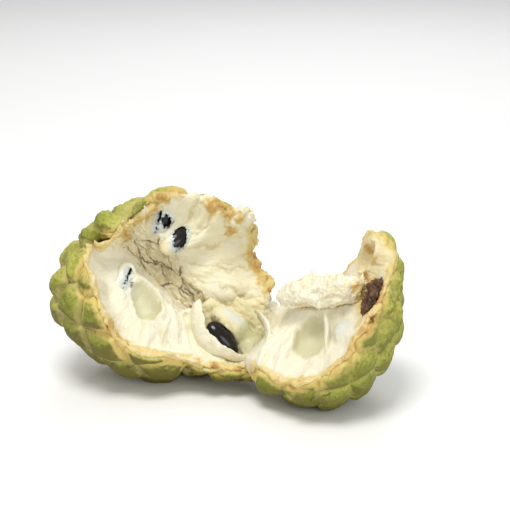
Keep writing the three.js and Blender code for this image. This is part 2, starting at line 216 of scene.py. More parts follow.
def keep_modifiers(piece):
    """Makes what a piece's modifiers give its own mesh."""
    made = bpy.data.meshes.new_from_object(piece.evaluated_get(bpy.context.evaluated_depsgraph_get()))
    piece.modifiers.clear()
    piece.data = made
    smooth_shading(made)


def even_faces(piece, voxel):
    remesh = piece.modifiers.new("even faces", "REMESH")
    remesh.mode = "VOXEL"
    remesh.voxel_size = voxel * MM


def fine_skin(name, node, voxel):
    """A copy of a node's solid with one even skin of small faces."""
    shape = bmesh.new()
    shape.from_mesh(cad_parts[node].data)
    bmesh.ops.remove_doubles(shape, verts=shape.verts, dist=1e-6)
    piece = new_piece(name, shape)
    even_faces(piece, voxel)
    keep_modifiers(piece)
    return piece


def points_of(piece):
    """A piece's points in millimetres."""
    flat = np.empty(len(piece.data.vertices) * 3, np.float32)
    piece.data.vertices.foreach_get("co", flat)
    return flat.reshape(-1, 3).astype(float) / MM


def normals_of(piece):
    flat = np.empty(len(piece.data.vertices) * 3, np.float32)
    piece.data.vertex_normals.foreach_get("vector", flat)
    return flat.reshape(-1, 3).astype(float)


def set_points(piece, points):
    """Moves a piece's points to places in millimetres, none of them outside the fruit's box."""
    low, high = (np.array(corner) / MM for corner in cad_box)
    inside = np.clip(points, low, high) * MM
    piece.data.vertices.foreach_set("co", inside.astype(np.float32).ravel())
    piece.data.update()


def edges_of(piece):
    flat = np.empty(len(piece.data.edges) * 2, np.int32)
    piece.data.edges.foreach_get("vertices", flat)
    return flat.reshape(-1, 2)


def relax(points, edges, rounds):
    """Points drawn half way towards the mean of their neighbours, round after round."""
    count = len(points)
    ends = np.concatenate([edges[:, 0], edges[:, 1]])
    others = np.concatenate([edges[:, 1], edges[:, 0]])
    degree = np.maximum(1, np.bincount(ends, minlength=count))[:, None]
    for _ in range(rounds):
        total = np.stack([np.bincount(ends, points[others, k], count) for k in range(3)], axis=1)
        points = points + 0.5 * (total / degree - points)
    return points


def drop_points(piece, doomed):
    """Leaves out the points that are marked, and the faces on them."""
    shape = bmesh.new()
    shape.from_mesh(piece.data)
    bmesh.ops.delete(shape, geom=[v for v, out in zip(shape.verts, doomed) if out], context="VERTS")
    shape.to_mesh(piece.data)
    shape.free()


def mark(piece, name, values):
    """A value (or a place) at every point, which the piece's material reads."""
    values = np.asarray(values, np.float32)
    kind, field = ("FLOAT", "value") if values.ndim == 1 else ("FLOAT_VECTOR", "vector")
    layer = piece.data.attributes.new(name, kind, "POINT")
    layer.data.foreach_set(field, values.ravel())


def ramp(values, start, end):
    """0 before start, 1 after end (or the other way round), smooth between."""
    share = np.clip((values - start) / (end - start), 0, 1)
    return share * share * (3 - 2 * share)


def bell(away, width):
    """1 where away is 0, falling off in a bell about as wide as width."""
    return np.exp(-(away / width) ** 2)


def grainy(points, size, seed=0.0, octaves=3):
    """Smooth random values from about -1 to 1 over points, with lumps of about the given size."""
    shift = Vector((seed * 17.3, seed * -9.1, seed * 5.7))
    return np.array([noise.fractal(Vector(p) / size + shift, 0.6, 2.1, octaves) for p in points])


def distance_to(points, piece, reach):
    """How far each point is from a piece's surface, up to a reach."""
    tree = BVHTree.FromPolygons(
        [v.co[:] for v in piece.data.vertices], [p.vertices[:] for p in piece.data.polygons])
    found = [tree.find_nearest(Vector(p) * MM, reach * MM)[3] for p in points]
    return np.array([reach if away is None else away / MM for away in found])


def distance_to_points(points, others):
    tree = KDTree(len(others))
    for index, other in enumerate(others):
        tree.insert(other, index)
    tree.balance()
    return np.array([tree.find(p)[2] for p in points])


def near_place(points, place, start, end):
    """0 farther from a place than start, 1 nearer than end."""
    return ramp(np.linalg.norm(points - place, axis=1), start, end)


def wedge_share(points):
    """0 on the bowl's side of the tear, 1 on the wedge's side."""
    return ramp(points[:, 0] - 0.35 * points[:, 1], 14, 20)


def flap_brink(points):
    """How near each point is to the flap's left brink, which is drawn in a little."""
    return ramp(points[:, 0], 54, 48) * ramp(points[:, 0], 36, 42) * ramp(points[:, 2], 42, 47)


# Where the torn parts have dried brown or orange: the place, its reach and how strong the stain is.
STAINS = [
    ((-40, -18, 24), 4.5, 0.95), ((-38, -16, 20), 3.5, 0.9), ((-42, -20, 30), 4.5, 0.85),
    ((-51, -14, 47), 5, 0.45), ((-25, 20, 69), 4.5, 0.9), ((-21, 21, 70), 4, 0.8),
    ((-29, 18, 65), 4, 1), ((-30, 19, 60), 3.5, 0.8), ((-33, 15, 60), 3.5, 0.9),
    ((-38, 12, 55), 3.2, 0.85), ((-43, 4, 58), 3.2, 1.7), ((-41, 7, 60), 2.5, 1.5),
    ((-4, 22, 65), 4.5, 1), ((0, 22, 63), 3.5, 1), ((2, 22, 61), 3, 0.9), ((2, 25, 53), 3, 0.8),
    ((5.3, 22, 58.5), 3.2, 0.7), ((11, 32, 40), 3.5, 1), ((13, 30, 36), 3.5, 0.9),
    ((16, 25, 32), 3.5, 0.9), ((18, 20, 30), 2.2, 1.05), ((-27, 22, 33), 1.6, 0.6),
    ((-10, -19, 15), 3, 0.6), ((-4, -19, 14), 2.2, 1.1), ((6, -19, 12.5), 2.5, 1.05),
    ((10, -25, 13), 3, 0.5), ((19, -38, 16), 3.5, 0.6), ((26, -40, 13), 3, 1.05),
    ((28, -44, 18), 4.5, 0.6), ((24, -38, 9), 3, 0.8), ((35, -28, 21), 1.8, 0.25),
    ((40, -45, 23), 4, 0.7), ((45, -44, 30), 4, 0.8), ((50, -41, 36), 4, 1), ((54, -37, 38), 3, 1.3),
    ((52, -20, 40), 4, 0.9), ((50, -18, 44), 3.6, 0.7), ((53, -13, 46), 3.2, 0.9),
    ((53, -24, 37), 3.5, 1), ((45, -19, 34), 2, 0.25), ((53.9, -8.5, 55.7), 3, 1),
    ((55.5, -12.3, 54.2), 2.6, 1), ((52.5, -3, 55), 2.2, 0.8), ((56.5, -31, 43), 3.4, 1),
    ((57, -26, 47), 3, 0.9), ((53.5, -34, 38.5), 3, 0.9),
]
STAIN_RAGGED = 0.55


def stain_at(points, octaves=4):
    """How strongly each point is stained, from 0 to 1, with ragged outlines."""
    wobble = grainy(points, 3, 8, octaves)
    total = np.zeros(len(points))
    for place, reach, strength in STAINS:
        away = np.linalg.norm(points - place, axis=1) / reach + STAIN_RAGGED * wobble
        total = np.maximum(total, strength * np.exp(-np.maximum(away, 0) ** 2))
    return total


rind = fine_skin("rind_skin", "rind", RIND_VOXEL)
flesh = fine_skin("torn_flesh", "flesh", FLESH_VOXEL)
rind_points = relax(points_of(rind), edges_of(rind), FACET_ROUNDS)
flesh_points = points_of(flesh)
flesh_to_rind = distance_to(flesh_points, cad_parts["rind"], RIND_REACH)
flesh_front = flesh_points[flesh_to_rind > OPEN_FACE][::5]  # every fifth point is near enough
rind_to_flesh = distance_to_points(rind_points, flesh_front)

# The scales. Each point of the rind's outside is brought to the nearest hollow's even form, and
# raised from it: high on a scale's middle, low in the groove, and lowest in the crack.
luck = np.random.default_rng(5)
scale_height = luck.uniform(-SCALE_UNEVEN, SCALE_UNEVEN, SCALE_COUNT)
scale_tone = luck.uniform(0, 1, SCALE_COUNT)
smallest = np.full(len(rind_points), np.inf)
move = np.zeros_like(rind_points)
outer, groove, tone = (np.zeros(len(rind_points)) for _ in range(3))
set_points(rind, rind_points)
rind_normals = normals_of(rind)
warp = np.stack([grainy(rind_points, 12, seed, 2) for seed in (1, 2, 3)], axis=1)
lumps = grainy(rind_points, 5, 4)
for hollow, plump in PLUMPNESS:
    local = hollow.local(rind_points)
    unit = local / hollow.half
    directions = unit / np.linalg.norm(unit, axis=1)[:, None]
    outward = directions / hollow.half
    outward /= np.linalg.norm(outward, axis=1)[:, None]
    offset = ((local - directions * hollow.half) * outward).sum(axis=1)
    bent = directions + SCALE_WARP * warp
    bent /= np.linalg.norm(bent, axis=1)[:, None]
    squared = 2 - 2 * bent @ hollow.middles.T
    nearest, second = np.argsort(squared, axis=1)[:, :2].T
    rows = np.arange(len(bent))
    spread = np.linalg.norm(hollow.middles[nearest] - hollow.middles[second], axis=1)
    to_groove = (squared[rows, second] - squared[rows, nearest]) / (2 * spread)
    on_scale = np.sin(math.pi / 2 * np.minimum(1, to_groove / GROOVE_WIDTH))
    from_pole = ((hollow.middles[nearest] - bent) @ hollow.pole) / SCALE_HALF
    rise = SCALE_RISE * (on_scale - GROOVE_LEVEL) + SCALE_LEAN * on_scale * from_pole
    rise += on_scale * (scale_height[nearest] + SCALE_LUMPS * lumps)
    rise -= CRACK_DEPTH * bell(to_groove, CRACK_WIDTH)
    rise *= plump
    to_move = rise - hollow.dent(directions) - offset
    facing = (rind_normals @ hollow.axes * outward).sum(axis=1)
    weight = ramp(np.abs(to_move), 4.5, 2.8) * ramp(facing, 0.15, 0.5)  # 0 on edges and inside
    chosen = np.abs(to_move) < smallest
    smallest[chosen] = np.abs(to_move)[chosen]
    move[chosen] = ((to_move * weight)[:, None] * (outward @ hollow.axes.T))[chosen]
    outer[chosen] = weight[chosen]
    groove[chosen] = (to_groove * FRUIT_RADIUS)[chosen]
    tone[chosen] = scale_tone[nearest][chosen]
rind_points = relax(rind_points + move, edges_of(rind), 1)
set_points(rind, rind_points)

# The crumpled knobs that curl in over the bowl's far rim, and the flap's brink drawn in.
KNOB_LINE = np.array([(-51, -1, 57), (-46, 7, 63), (-40, 12, 66), (-34, 14, 68), (-28, 17, 69)])
SWOLLEN_KNOBS = np.array([(-46, 7, 63), (-52, 0, 57.5)])
CURL = (2.4, -2.4, -2.0)
RIND_DRAWN_IN, KNOB_SWELL, KNOB_RELIEF, SCAR_CREASES = 2.0, 1.8, 1.1, 0.6
STALK_FOOT = (61, -25, 40)
wedge_side = wedge_share(rind_points)
wedge_low = wedge_side * ramp(WEDGE.local(rind_points)[:, 1], -10, -22)
knobs = ramp(distance_to_points(rind_points, KNOB_LINE), 8.5, 5.5)
curled = ramp(distance_to_points(rind_points, KNOB_LINE[1:]), 9, 5) * ramp(rind_to_flesh, 6, 3.5)
rind_points += curled[:, None] * CURL
rind_points[:, 0] += RIND_DRAWN_IN * flap_brink(rind_points)

# The torn edge, wide where the rind is bare and narrow where a scale's patch reaches it.
swell = ramp(distance_to_points(rind_points, SWOLLEN_KNOBS), 5.5, 1)
by_scar = near_place(rind_points, STALK_FOOT, 17, 7)
edge_width = EDGE_WIDTH + 3.4 * wedge_low - 2.2 * wedge_side
edge_between = edge_width + 2.5 * (1 - 0.7 * wedge_side)
patch_room = (PATCH_ROOM + 3 * ramp(rind_points[:, 2], 22, 14)) * (1 - 0.6 * wedge_side)
patch_room *= ramp(groove, 1.0, 3.2)
torn_edge = (edge_between - rind_to_flesh - EDGE_RAGGED * lumps - patch_room) / (edge_width - 3)
torn_edge = np.clip(torn_edge, 0, 1) * (1 - 0.9 * knobs) * (1 - 0.7 * by_scar)
pitted = EDGE_PITS * torn_edge * grainy(rind_points, 2.4, 6)
pitted += SKIN_PITS * grainy(rind_points, 1.6, 7, 2) + LIFTED_EDGE * ramp(rind_to_flesh, 4, 3)
pitted += KNOB_RELIEF * knobs * grainy(rind_points, 4.5, 9, 3) + KNOB_SWELL * swell
rind_points += normals_of(rind) * pitted[:, None]
rind_points[:, 2] = np.where(rind_points[:, 2] < 0.3, 0, rind_points[:, 2])  # the flats it lies on
set_points(rind, rind_points)
creases = grainy(rind_points * (1, 1, 0.22), 1.6, 10, 3)
rind_points += normals_of(rind) * (SCAR_CREASES * by_scar * creases)[:, None]
set_points(rind, rind_points)

outside = outer * ramp(rind_to_flesh, 2.5, 4.5)
upward = normals_of(rind)[:, 2]
mark(rind, "groove", groove + 1.2 * wedge_side - 2.5 * by_scar * ramp(creases, -0.15, -0.5))
# Painted light and shade: marked high where the rind faces up and on the wedge's side, low on the knobs
# and where it faces down.
mark(rind, "painted_light_and_shade", (ramp(upward, -0.6, 1.0) + 0.2 * wedge_side) * (1 - 0.35 * knobs))
mark(rind, "tone", tone)
mark(rind, "outer", np.maximum(outer, knobs))
mark(rind, "edge", torn_edge)
mark(rind, "stain", stain_at(rind_points) * (1 - 0.6 * outside))
drop_points(rind, (outer < 0.05) & (rind_to_flesh > 9))


def calc(tree, operation, *values):
    return add_node(tree, "ShaderNodeMath", list(enumerate(values)), operation=operation).outputs[0]


def times(tree, first, second):
    return calc(tree, "MULTIPLY", first, second)


def ease(tree, value, low, high, start=0.0, end=1.0):
    """A value eased from start to end as it goes from low to high."""
    return add_node(tree, "ShaderNodeMapRange", [
        ("Value", value), ("From Min", low), ("From Max", high), ("To Min", start), ("To Max", end)],
        interpolation_type="SMOOTHSTEP").outputs["Result"]


def sway(tree, value, noise_value, amount, middle=0.5):
    """A value pushed up and down by noise."""
    return calc(tree, "ADD", value, times(tree, calc(tree, "SUBTRACT", noise_value, middle), amount))


def mix(tree, share, first, second):
    return add_node(tree, "ShaderNodeMix", [(0, share), (6, first), (7, second)],
                    data_type="RGBA", blend_type="MIX").outputs[2]


def lumpy(tree, place, size, detail=2.0, roughness=0.5):
    """Noise from 0 to 1 with lumps of a size in millimetres."""
    return add_node(tree, "ShaderNodeTexNoise", [
        ("Vector", place), ("Scale", 1 / (size * MM)), ("Detail", detail), ("Roughness", roughness)],
        ).outputs["Fac"]


def read(tree, name, output="Fac"):
    """What was marked on the piece's points."""
    return add_node(tree, "ShaderNodeAttribute", attribute_name=name).outputs[output]


def own_place(tree):
    return add_node(tree, "ShaderNodeTexCoord").outputs["Object"]


def new_group(name, inputs, outputs):
    """A shader node group with its named sockets: (name, kind, value) in and (name, kind) out."""
    group = bpy.data.node_groups.new(name, "ShaderNodeTree")
    for label, kind, value in inputs:
        socket = group.interface.new_socket(label, in_out="INPUT", socket_type="NodeSocket" + kind)
        if value is not None:
            socket.default_value = value
    for label, kind in outputs:
        group.interface.new_socket(label, in_out="OUTPUT", socket_type="NodeSocket" + kind)
    return group, group.nodes.new("NodeGroupInput").outputs, group.nodes.new("NodeGroupOutput").inputs


def use_group(tree, group, links):
    made = add_node(tree, "ShaderNodeGroup", node_tree=group)
    for socket, value in links:
        if isinstance(value, bpy.types.NodeSocket):
            tree.links.new(value, made.inputs[socket])
        else:
            made.inputs[socket].default_value = value
    return made.outputs


# What is torn dries: a yellow band along the torn edge, and orange to brown stains on it.
DRIED_YELLOW, DRIED_ORANGE = (0.75, 0.58, 0.185, 1), (0.54, 0.285, 0.07, 1)
SPECK_BROWN, STAIN_BROWN = (0.25, 0.11, 0.03, 1), (0.16, 0.075, 0.025, 1)
torn_tint, given, result = new_group(
    "torn tint", [("Color", "Color", (1, 1, 1, 1)), ("Edge", "Float", 0.0), ("Stain", "Float", 0.0),
                  ("Place", "Vector", None)], [("Color", "Color")])
wander = lumpy(torn_tint, given["Place"], 2.0, 5.0, 0.6)
edge = calc(torn_tint, "MAXIMUM", given["Edge"], times(torn_tint, given["Stain"], 1.6))
edge = ease(torn_tint, sway(torn_tint, edge, wander, 0.7), 0.1, 1.0)
dried = mix(torn_tint, times(torn_tint, edge, 0.85), given["Color"], DRIED_YELLOW)
browning = ease(torn_tint, sway(torn_tint, given["Stain"], wander, 1.1), 0.25, 1.05)
dried = mix(torn_tint, times(torn_tint, browning, 0.85), dried, DRIED_ORANGE)
specks = ease(torn_tint, lumpy(torn_tint, given["Place"], 0.9, 4.0, 0.65), 0.62, 0.72)
dried = mix(torn_tint, times(torn_tint, specks, browning), dried, SPECK_BROWN)
darkest = ease(torn_tint, sway(torn_tint, given["Stain"], wander, 0.8), 0.9, 1.25)
dried = mix(torn_tint, darkest, dried, STAIN_BROWN)
torn_tint.links.new(dried, result["Color"])

# Fine grain on every surface of the fruit: a height with lumps of a size, and finer ones on them.
fine_grain, given, result = new_group(
    "fine grain", [("Place", "Vector", None), ("Size", "Float", 1.0)], [("Height", "Float")])
scale = calc(fine_grain, "DIVIDE", 1 / MM, given["Size"])
coarse = add_node(fine_grain, "ShaderNodeTexNoise", [
    ("Vector", given["Place"]), ("Scale", scale), ("Detail", 3.0), ("Roughness", 0.6)])
finer = add_node(fine_grain, "ShaderNodeTexNoise", [
    ("Vector", given["Place"]), ("Scale", times(fine_grain, scale, 3.1)), ("Detail", 2.0)])
fine_grain.links.new(calc(fine_grain, "ADD", coarse.outputs["Fac"], times(
    fine_grain, finer.outputs["Fac"], 0.4)), result["Height"])


def grain_height(tree, place, size):
    return use_group(tree, fine_grain, [("Place", place), ("Size", size)])["Height"]


def raise_relief(tree, shader, height, strength, depth):
    """Raises a height on the shader as fine relief; its depth is in millimetres."""
    bump = add_node(tree, "ShaderNodeBump", [
        ("Strength", strength), ("Distance", depth * MM), ("Height", height)])
    tree.links.new(bump.outputs["Normal"], shader.inputs["Normal"])


GREEN_DEEP, GREEN_OLIVE = (0.22, 0.245, 0.022, 1), (0.44, 0.46, 0.07, 1)
GREEN_PAINTED_LIGHT, GREEN_MOTTLE = (0.56, 0.51, 0.11, 1), (0.16, 0.17, 0.025, 1)
GREEN_PATCH, GREEN_FLECK = (0.17, 0.18, 0.014, 1), (0.50, 0.50, 0.16, 1)
GREEN_SHADED, TAN_BORDER = (0.14, 0.115, 0.014, 1), (0.58, 0.50, 0.18, 1)
BROWN_CRACK, BROWN_SPECK = (0.13, 0.07, 0.02, 1), (0.09, 0.05, 0.02, 1)
RIND_INSIDE = (0.86, 0.78, 0.50, 1)
rind_finish, tree, shader = new_material("waxy rind", 0.62, Specular_IOR_Level=0.35)
place = own_place(tree)
fine = lumpy(tree, place, 1.3, 4.0, 0.65)
ripeness = calc(tree, "ADD", times(tree, read(tree, "tone"), 0.5), lumpy(tree, place, 9, 3.0))
green = mix(tree, ease(tree, ripeness, 0.4, 1.0), GREEN_DEEP, GREEN_OLIVE)
# Painted light: the sides that face up are mixed towards a bright yellow-green.
green = mix(tree, ease(tree, read(tree, "painted_light_and_shade"), 0.35, 1.0, 0, 0.6), green, GREEN_PAINTED_LIGHT)
green = mix(tree, ease(tree, fine, 0.42, 0.66, 0, 0.6), green, GREEN_MOTTLE)
# Darker green in the scales' middles, a real tone, kept to the sides turned away from the top, so it is
# partly painted shade as well.
patch = times(tree, ease(tree, read(tree, "groove"), 1.6, 4.5, 0, 0.75),
              ease(tree, read(tree, "painted_light_and_shade"), 0.9, 0.4))
green = mix(tree, patch, green, GREEN_PATCH)
green = mix(tree, ease(tree, lumpy(tree, place, 1.0, 3.0, 0.6), 0.56, 0.68, 0, 0.5), green, GREEN_FLECK)
# Painted shade: the sides that face down are mixed towards a dark brownish olive.
green = mix(tree, ease(tree, read(tree, "painted_light_and_shade"), 0.42, 0.1, 0, 0.85), green, GREEN_SHADED)
uneven = sway(tree, read(tree, "groove"), lumpy(tree, place, 2.2, 3.0), 3.2)
skin_colour = mix(tree, ease(tree, uneven, 2.6, 0.5, 0, 0.75), green, TAN_BORDER)
crack = ease(tree, sway(tree, read(tree, "groove"), fine, 1.1), 0.5, 0.12)
crack = times(tree, crack, ease(tree, read(tree, "edge"), 0.5, 0.1))
crack = times(tree, crack, ease(tree, lumpy(tree, place, 11, 2.0), 0.38, 0.6, 0.15, 1))
skin_colour = mix(tree, times(tree, crack, 0.85), skin_colour, BROWN_CRACK)
speck = ease(tree, lumpy(tree, place, 2.6, 2.0, 0.4), 0.70, 0.74)
skin_colour = mix(tree, times(tree, speck, 0.7), skin_colour, BROWN_SPECK)
skin_colour = mix(tree, read(tree, "outer"), RIND_INSIDE, skin_colour)
tinted = use_group(tree, torn_tint, [
    ("Color", skin_colour), ("Edge", read(tree, "edge")), ("Stain", read(tree, "stain")),
    ("Place", place)])
tree.links.new(tinted["Color"], shader.inputs["Base Color"])
raise_relief(tree, shader, grain_height(tree, place, 1.0), 0.7, 0.5)
rind.data.materials.append(rind_finish)
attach(rind, "root")
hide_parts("rind")

# ---- Flesh --------------------------------------------------------------------------------------
# The soft, moist segments, grown fast to the rind. They run out from the core's print, a cracked
# beige trough. Some are torn open, and leave a smooth, clearer hollow with a thin lip round it. The
# flesh is crumbly where it was torn at the rim.
TROUGH = [  # the print of the core in the bowl: across, up the slope, and half its width
    (-20, 17.5, 2.5), (-12, 19, 4.5), (-5, 16.5, 5), (1.5, 11.5, 4.5), (6, 5.5, 4.5), (10, 0.5, 4.5),
    (13, -4, 3.5)]
FOLDS = [  # valleys between the folds of the near bank
    [(-22.6, -7.7, 28.3), (-25.2, -11.3, 22.8), (-27.7, -19, 19.7)],
    [(-15, -1.4, 27.2), (-13.8, -4.2, 22.1), (-12, -10.6, 17.2)]]
BESIDE_SCAR = np.array([(55.9, -18.3, 45), (51, -22.4, 38), (49.7, -30.8, 36.2), (47, -40, 32)])
TUCK_LINE = np.array([(-47.5, 4.5, 61.5), (-46, 7, 63), (-40, 12, 66), (-34, 14, 68)])
TUCK = (1.6, -1.4, -4.2)
FLESH_DRAWN_IN, RIM_LOWERED = 2.4, 2.8
STRAND_TURN = 22  # how far apart two strands a radian apart are drawn
STRAND_SIZE = (1.5, 11, 8)  # a strand's width, length and depth
STRAND_RELIEF, FAN_RELIEF, SWELL_RELIEF = 0.25, 0.3, 0.3
CRUMBS, RIM_CRUMBS, CURD_CRUMBS = 0.08, 0.45, 0.8
FOLD_RISE, FOLD_DEPTH, TROUGH_RELIEF, LAP_RISE = 0.5, 0.9, 0.9, 0.55
CORD_RISE, CORD_COUNT = 1.2, 9  # the far bank's cords, and how many there are to a radian
SMOOTH_ROUNDS = 19
ARIL_ROOM = (0.8, 0.8, 0.7)  # how far an aril stands off its seed's ends, sides and flats
ARIL_SHIFT = {  # how far an aril's middle lies from its seed's
    "seed_far_upper": (0, -2.1, 0.8), "seed_far_lower": (0.4, 0.6, 0.1), "seed_near": (0.3, 0.7, 0.0)}
ARIL_OVERLAP = 0.35


def oval(local, at, half, turn=0.0, level=0.0, reach=9.0):
    """1 on an oval's outline, 0 in its middle, in a hollow's own frame, and how near its level."""
    turn = math.radians(turn)
    x, y = local[:, 0] - at[0], local[:, 1] - at[1]
    along = (x * math.cos(turn) + y * math.sin(turn)) / half[0]
    aside = (y * math.cos(turn) - x * math.sin(turn)) / half[1]
    return np.hypot(along, aside), ramp(np.abs(local[:, 2] - level), reach, 0.6 * reach)


def curve(stops, share):
    """Points on a smooth curve through stops; share runs from 0 to 1 along it."""
    stops = np.array(stops, float)
    stops = np.concatenate([2 * stops[:1] - stops[1:2], stops, 2 * stops[-1:] - stops[-2:-1]])
    at = share * (len(stops) - 3)
    span = np.minimum(at.astype(int), len(stops) - 4)
    t = (at - span)[:, None]
    a, b, c, d = (stops[span + k] for k in range(4))
    return 0.5 * (2 * b + (c - a) * t + (2 * a - 5 * b + 4 * c - d) * t ** 2
                  + (3 * b - a - 3 * c + d) * t ** 3)


def strands_at(points):
    """Places along and across the strands, which spread from the trough or from above the core."""
    share = wedge_share(points)[:, None]
    total = 0
    for local, spot, part in (
            (BOWL.local(points), (2, 12), 1 - share), (WEDGE.local(points), (-2, 24), share)):
        x, y = local[:, 0] - spot[0], local[:, 1] - spot[1]
        total = total + part * np.stack([
            np.arctan2(x, -y) * STRAND_TURN, np.hypot(x, y), local[:, 2] * 0.2], axis=1)
    return total


def aril_form(node):
    """An aril's middle, its long, wide and thin directions and its half sizes along them."""
    points = np.array([v.co[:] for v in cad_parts[node].data.vertices]) / MM
    _, _, axes = np.linalg.svd(points - points.mean(axis=0), full_matrices=False)
    along = (points - points.mean(axis=0)) @ axes.T
    middle = points.mean(axis=0) + ((along.max(axis=0) + along.min(axis=0)) / 2) @ axes
    half = (along.max(axis=0) - along.min(axis=0)) / 2
    return middle + ARIL_SHIFT[node], axes, half + ARIL_ROOM


# The solid's facets are smoothed away, but its sharp steps stay. Then the flesh is tucked in under
# the rind's knobs, drawn in at the flap's brink and lowered behind the core.
flesh_edges = edges_of(flesh)
close = relax(flesh_points, flesh_edges, FACET_ROUNDS)
smooth = relax(close, flesh_edges, SMOOTH_ROUNDS)
drift = np.linalg.norm(smooth - close, axis=1)[:, None]
flesh_points = close + (smooth - close) * ramp(drift, 0.5, 0.2)
tucked = ramp(distance_to_points(flesh_points, TUCK_LINE), 9, 5.5) * ramp(flesh_to_rind, 4.5, 1.5)
flesh_points += tucked[:, None] * TUCK
flesh_points[:, 0] += FLESH_DRAWN_IN * flap_brink(flesh_points)
behind_core = ramp(np.abs(flesh_points[:, 0] - 35), 16, 10) * ramp(flesh_points[:, 1], -9, -5)
flesh_points[:, 2] -= RIM_LOWERED * behind_core * ramp(flesh_points[:, 2], 35, 40)
set_points(flesh, flesh_points)
flesh_normals = normals_of(flesh)
in_bowl, in_bridge, in_wedge = (hollow.local(flesh_points) for hollow in (BOWL, BRIDGE, WEDGE))
wedge_side = wedge_share(flesh_points)
bowl_side = 1 - wedge_side

# The trough: how far in it each point lies, and its place along and across the print.
in_trough = np.zeros(len(flesh_points))
print_place = np.zeros_like(flesh_points)
run, nearest_run = 0, np.full(len(flesh_points), np.inf)
wobble = grainy(flesh_points, 5, 11)
for (x0, y0, wide0), (x1, y1, wide1) in zip(TROUGH, TROUGH[1:]):
    start, step = np.array([x0, y0]), np.array([x1 - x0, y1 - y0])
    share = np.clip(((in_bowl[:, :2] - start) @ step) / (step @ step), 0, 1)
    away = np.linalg.norm(in_bowl[:, :2] - start - share[:, None] * step, axis=1)
    wide = wide0 + (wide1 - wide0) * share + 1.2 * wobble
    in_trough = np.maximum(in_trough, ramp(away, wide + 1.6, wide - 1.2))
    length = np.hypot(*step)
    aside = ((in_bowl[:, :2] - start) @ np.array([-step[1], step[0]])) / length
    here = away < nearest_run
    nearest_run[here] = away[here]
    print_place[here] = np.stack([run + share * length, aside, 0.5 * in_bowl[:, 2]], axis=1)[here]
    run += length
in_trough *= ramp(in_bowl[:, 2], 24, 20) * bowl_side

# Pockets that the seeds came out of, and places where a seed shows through as a bluish shadow.
POCKETS = [  # hollow, at, half sizes, turn, level, dip, lip, how clear and how blue it is
    (in_bowl, (-9.5, -7.5), (5.8, 10), 8, 5, 1.1, 0.85, 0.8, 0.1),
    (in_wedge, (-4, -11), (6.5, 9.5), 0, 0, 0.8, 0.4, 0.75, 0.1),
    (in_bridge, (5, 0), (5.5, 8), 0, 0, 0.6, 0.0, 1.0, 0.0),
    (in_bridge, (-1.5, 7), (7, 3.5), -35, 5, 0.4, 0.0, 0.3, 0.9),
    (in_wedge, (8, -7.8), (4.2, 6.2), 0, 6, -0.4, 0.0, 0.1, 1.0),
    (in_wedge, (14.5, 19.8), (3.4, 5), -20, 11, 3.0, 1.0, 0, 0),
    (in_bowl, (-15, 3), (3.6, 6), 10, 8, -0.5, 0.0, 0.0, 0.7),
    (in_bowl, (-15.5, -3.5), (3, 3.5), 0, 7, 0, 0.0, 0.0, 0.6),
]
clear, blue, relief = (np.zeros(len(flesh_points)) for _ in range(3))
for local, at, half, turn, level, dip, lip, clearness, blueness in POCKETS:
    ring, here = oval(local, at, half, turn, level)
    ring = ring + 0.12 * wobble
    relief += here * (lip * bell(ring - 1, 0.13) - dip * ramp(ring, 1, 0.3))
    clear = np.maximum(clear, here * clearness * ramp(ring, 1.1, 0.7))
    blue = np.maximum(blue, here * blueness * ramp(ring, 1.1, 0.4))

# Strands, crumbs, folds and the far bank's cords, then the lap of flesh over the rind's edge.
strand = strands_at(flesh_points)
rim = ramp(flesh_to_rind, 4.5, 0.8)
ragged, here = oval(in_bowl, (34, 20), (9, 9), 0, 11, 14)
curds = here * ramp(ragged, 1.2, 0.7)
fans = np.maximum(ramp(oval(in_bowl, (-3, -17), (13, 13))[0], 1.1, 0.7) * bowl_side,
                  ramp(oval(in_wedge, (-14, -15), (9, 15))[0], 1.1, 0.7) * wedge_side)
stranded = (STRAND_RELIEF + FAN_RELIEF * fans) * grainy(strand / STRAND_SIZE, 1, 21, 3)
relief += stranded * (1 - clear) * (1 - in_trough)
relief += SWELL_RELIEF * grainy(flesh_points, 7, 22, 2) * (1 - clear)
crumbly = CRUMBS + RIM_CRUMBS * rim + CURD_CRUMBS * curds
relief += crumbly * (1 - 0.8 * clear) * grainy(flesh_points, 2.4, 23, 4)
for line in FOLDS:
    beside = distance_to_points(flesh_points, curve(line, np.linspace(0, 1, 40)))
    relief += FOLD_RISE * bell(beside - 1.6, 0.9) - FOLD_DEPTH * bell(beside, 0.8)
relief += TROUGH_RELIEF * in_trough * grainy(print_place * (0.35, 1, 1), 2.4, 24, 3)
cord = np.abs(np.sin(strand[:, 0] / STRAND_TURN * CORD_COUNT + 0.8 * wobble))
far_bank = ramp(in_bowl[:, 0], 6, 13) * ramp(strand[:, 1], 6, 12) * bowl_side * (1 - curds)
relief += CORD_RISE * far_bank * (cord ** 0.6 - 0.6)
lapped = ramp(flesh_to_rind, 1.6, 0.6)
flesh_points += flesh_normals * (relief + LAP_RISE * lapped)[:, None]
set_points(flesh, flesh_points)

on_flap = 0.62 * ramp(flesh_points[:, 0], 47, 52) * ramp(in_wedge[:, 1], 8, 14)
fleshy_top = near_place(flesh_points, (-11, 23, 67), 12, 6)
orange_band = 0.8 * ramp(distance_to_points(flesh_points, BESIDE_SCAR), 5.5, 2.5)
by_bridge = near_place(flesh_points, (14, 3, 30), 10, 5)
flesh_edge = ramp(flesh_to_rind, 3.4, 0.9) * (1 - 0.8 * fleshy_top) * (1 - 0.7 * by_bridge)
centre = 0.9 * near_place(flesh_points, (2, 0, 25), 19, 9)
mark(flesh, "trough", in_trough)
mark(flesh, "clear", clear)
mark(flesh, "blue", blue)
mark(flesh, "edge", np.max([flesh_edge, on_flap, 0.3 * curds, orange_band], axis=0))
